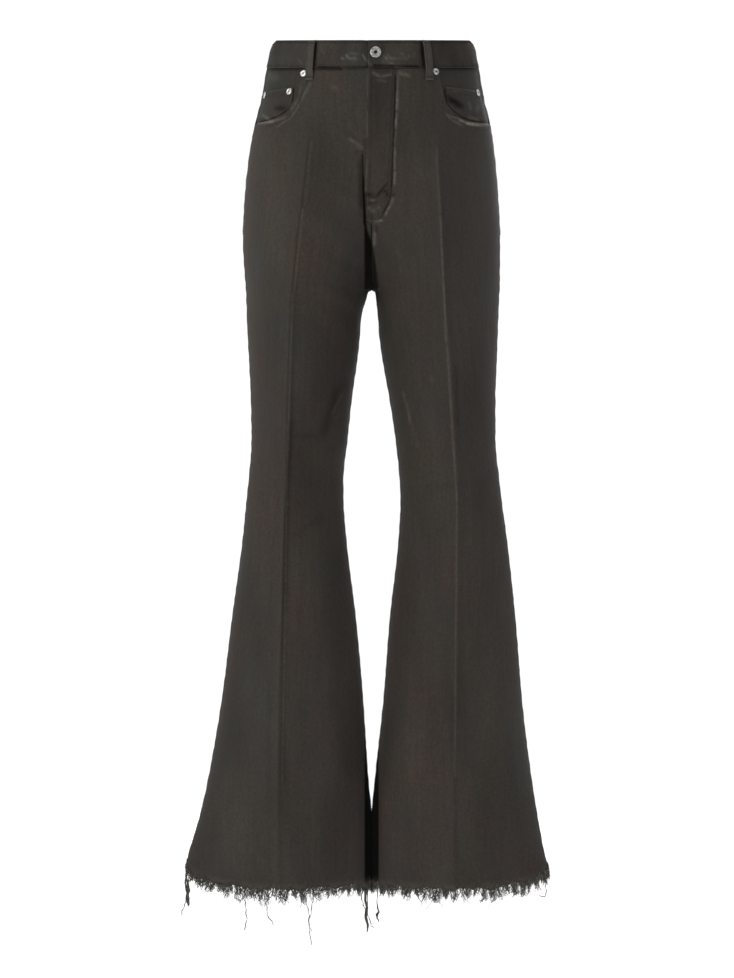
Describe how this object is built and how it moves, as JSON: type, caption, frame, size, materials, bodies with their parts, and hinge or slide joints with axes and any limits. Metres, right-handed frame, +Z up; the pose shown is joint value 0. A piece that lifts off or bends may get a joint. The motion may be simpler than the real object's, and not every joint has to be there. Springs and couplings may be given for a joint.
{
  "type": "flared jeans",
  "caption": "Flared jeans in dark grey waxed denim with pressed creases, scooped front pockets, belt loops and raw frayed hems, kept in their worn, hollow shape.",
  "frame": {"origin": "centre of the waist at half the height of the waistband, where the wearer's waist holds the garment", "axes": "+Z up along the garment, -Y out of its front, +X towards the wearer's left"},
  "size_m": [0.4986, 0.2577, 1.2504],
  "materials": {
    "waxed_denim": "waxed denim twill, dark warm grey with a faint worn sheen",
    "band_denim": "waxed denim, doubled, lighter where it is worn",
    "pocket_denim": "waxed denim, doubled",
    "frayed_yarn": "loose cotton yarn of the raw edge",
    "silver_metal": "satin silver-coloured metal"
  },
  "bodies": {
    "root": {"front_panel_left": "waxed_denim", "front_panel_right": "waxed_denim", "back_panel_left": "waxed_denim", "back_panel_right": "waxed_denim", "fly_placket": "waxed_denim", "back_yoke_left": "waxed_denim", "back_yoke_right": "waxed_denim", "pocket_facing_left": "pocket_denim", "pocket_facing_right": "pocket_denim", "coin_pocket_left": "pocket_denim", "coin_pocket_right": "pocket_denim", "back_pocket_left": "pocket_denim", "back_pocket_right": "pocket_denim", "waistband": "band_denim", "belt_loop_front_left": "band_denim", "belt_loop_front_right": "band_denim", "belt_loop_back_left": "band_denim", "belt_loop_back_right": "band_denim", "belt_loop_centre_back": "band_denim", "waist_button": "silver_metal", "rivet_scoop_left": "silver_metal", "rivet_scoop_right": "silver_metal", "rivet_coin_outer_left": "silver_metal", "rivet_coin_inner_right": "silver_metal", "rivet_coin_outer_right": "silver_metal", "frayed_hem_left": "frayed_yarn", "frayed_hem_right": "frayed_yarn"}
  },
  "joints": []
}
